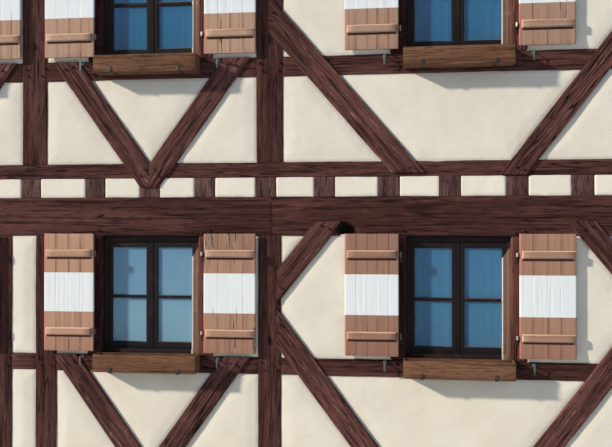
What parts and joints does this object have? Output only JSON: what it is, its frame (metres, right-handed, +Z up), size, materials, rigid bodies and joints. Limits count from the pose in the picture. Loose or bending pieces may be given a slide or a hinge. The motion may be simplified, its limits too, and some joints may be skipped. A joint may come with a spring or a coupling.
{
  "type": "half-timbered house front wall",
  "caption": "Two-storey half-timbered house front: oak frame with braces and joist ends, plastered panels, casement windows, hinged board shutters and flower boxes.",
  "frame": {"origin": "centre of the ground sill's underside, at the middle of the wall's thickness", "axes": "+X along the wall to the right as seen from the street, +Y into the house, +Z up"},
  "size_m": [8.382, 0.852, 5.441],
  "materials": {
    "timber": "old red-brown stain, rough and cracked",
    "plaster": "trowelled lime plaster, cream",
    "window_wood": "dark brown paint",
    "glass": "clear window glass",
    "shutter_wood": "tan paint with a white middle band, worn and flaking",
    "iron": "black wrought iron",
    "box_wood": "brown stained boards",
    "floor_wood": "plain sawn boards"
  },
  "bodies": {
    "wall": {"floor_boards": "floor_wood", "floor_joists": "timber", "ground_sill": "timber", "head_beam_left": "timber", "head_beam_right": "timber", "joist_infill": "plaster", "lower_box_brackets": "iron", "lower_casements": "window_wood", "lower_flower_boxes": "box_wood", "lower_glass": "glass", "lower_k_braces": "timber", "lower_panels": "plaster", "lower_pintles": "iron", "lower_posts": "timber", "lower_rails": "timber", "lower_shutter_catches": "iron", "lower_v_braces": "timber", "lower_window_frames": "window_wood", "lower_window_studs": "timber", "top_plate": "timber", "upper_box_brackets": "iron", "upper_casements": "window_wood", "upper_flower_boxes": "box_wood", "upper_glass": "glass", "upper_long_braces": "timber", "upper_panels": "plaster", "upper_pintles": "iron", "upper_posts": "timber", "upper_rails": "timber", "upper_shutter_catches": "iron", "upper_sill": "timber", "upper_v_braces": "timber", "upper_window_frames": "window_wood", "upper_window_studs": "timber"},
    "lower_left_shutter_left": {"lower_left_shutter_left": "shutter_wood"},
    "lower_left_shutter_right": {"lower_left_shutter_right": "shutter_wood"},
    "lower_middle_shutter_left": {"lower_middle_shutter_left": "shutter_wood"},
    "lower_middle_shutter_right": {"lower_middle_shutter_right": "shutter_wood"},
    "lower_right_shutter_left": {"lower_right_shutter_left": "shutter_wood"},
    "lower_right_shutter_right": {"lower_right_shutter_right": "shutter_wood"},
    "upper_left_shutter_left": {"upper_left_shutter_left": "shutter_wood"},
    "upper_left_shutter_right": {"upper_left_shutter_right": "shutter_wood"},
    "upper_middle_shutter_left": {"upper_middle_shutter_left": "shutter_wood"},
    "upper_middle_shutter_right": {"upper_middle_shutter_right": "shutter_wood"},
    "upper_right_shutter_left": {"upper_right_shutter_left": "shutter_wood"},
    "upper_right_shutter_right": {"upper_right_shutter_right": "shutter_wood"}
  },
  "joints": [
    {"name": "lower_left_hinge_left", "type": "hinge", "parent": "wall", "child": "lower_left_shutter_left", "pos_m": [-3.665, -0.155, 1.24], "axis": [0, 0, 1], "range_deg": [0, 180]},
    {"name": "lower_left_hinge_right", "type": "hinge", "parent": "wall", "child": "lower_left_shutter_right", "pos_m": [-2.615, -0.155, 1.24], "axis": [0, 0, -1], "range_deg": [0, 180]},
    {"name": "lower_middle_hinge_left", "type": "hinge", "parent": "wall", "child": "lower_middle_shutter_left", "pos_m": [-1.081, -0.155, 1.24], "axis": [0, 0, 1], "range_deg": [0, 180]},
    {"name": "lower_middle_hinge_right", "type": "hinge", "parent": "wall", "child": "lower_middle_shutter_right", "pos_m": [-0.031, -0.155, 1.24], "axis": [0, 0, -1], "range_deg": [0, 180]},
    {"name": "lower_right_hinge_left", "type": "hinge", "parent": "wall", "child": "lower_right_shutter_left", "pos_m": [1.853, -0.155, 1.24], "axis": [0, 0, 1], "range_deg": [0, 180]},
    {"name": "lower_right_hinge_right", "type": "hinge", "parent": "wall", "child": "lower_right_shutter_right", "pos_m": [2.903, -0.155, 1.24], "axis": [0, 0, -1], "range_deg": [0, 180]},
    {"name": "upper_left_hinge_left", "type": "hinge", "parent": "wall", "child": "upper_left_shutter_left", "pos_m": [-3.421, -0.155, 4.086], "axis": [0, 0, 1], "range_deg": [0, 180]},
    {"name": "upper_left_hinge_right", "type": "hinge", "parent": "wall", "child": "upper_left_shutter_right", "pos_m": [-2.371, -0.155, 4.086], "axis": [0, 0, -1], "range_deg": [0, 180]},
    {"name": "upper_middle_hinge_left", "type": "hinge", "parent": "wall", "child": "upper_middle_shutter_left", "pos_m": [-1.081, -0.155, 4.086], "axis": [0, 0, 1], "range_deg": [0, 180]},
    {"name": "upper_middle_hinge_right", "type": "hinge", "parent": "wall", "child": "upper_middle_shutter_right", "pos_m": [-0.031, -0.155, 4.086], "axis": [0, 0, -1], "range_deg": [0, 180]},
    {"name": "upper_right_hinge_left", "type": "hinge", "parent": "wall", "child": "upper_right_shutter_left", "pos_m": [1.853, -0.155, 4.086], "axis": [0, 0, 1], "range_deg": [0, 180]},
    {"name": "upper_right_hinge_right", "type": "hinge", "parent": "wall", "child": "upper_right_shutter_right", "pos_m": [2.903, -0.155, 4.086], "axis": [0, 0, -1], "range_deg": [0, 180]}
  ]
}
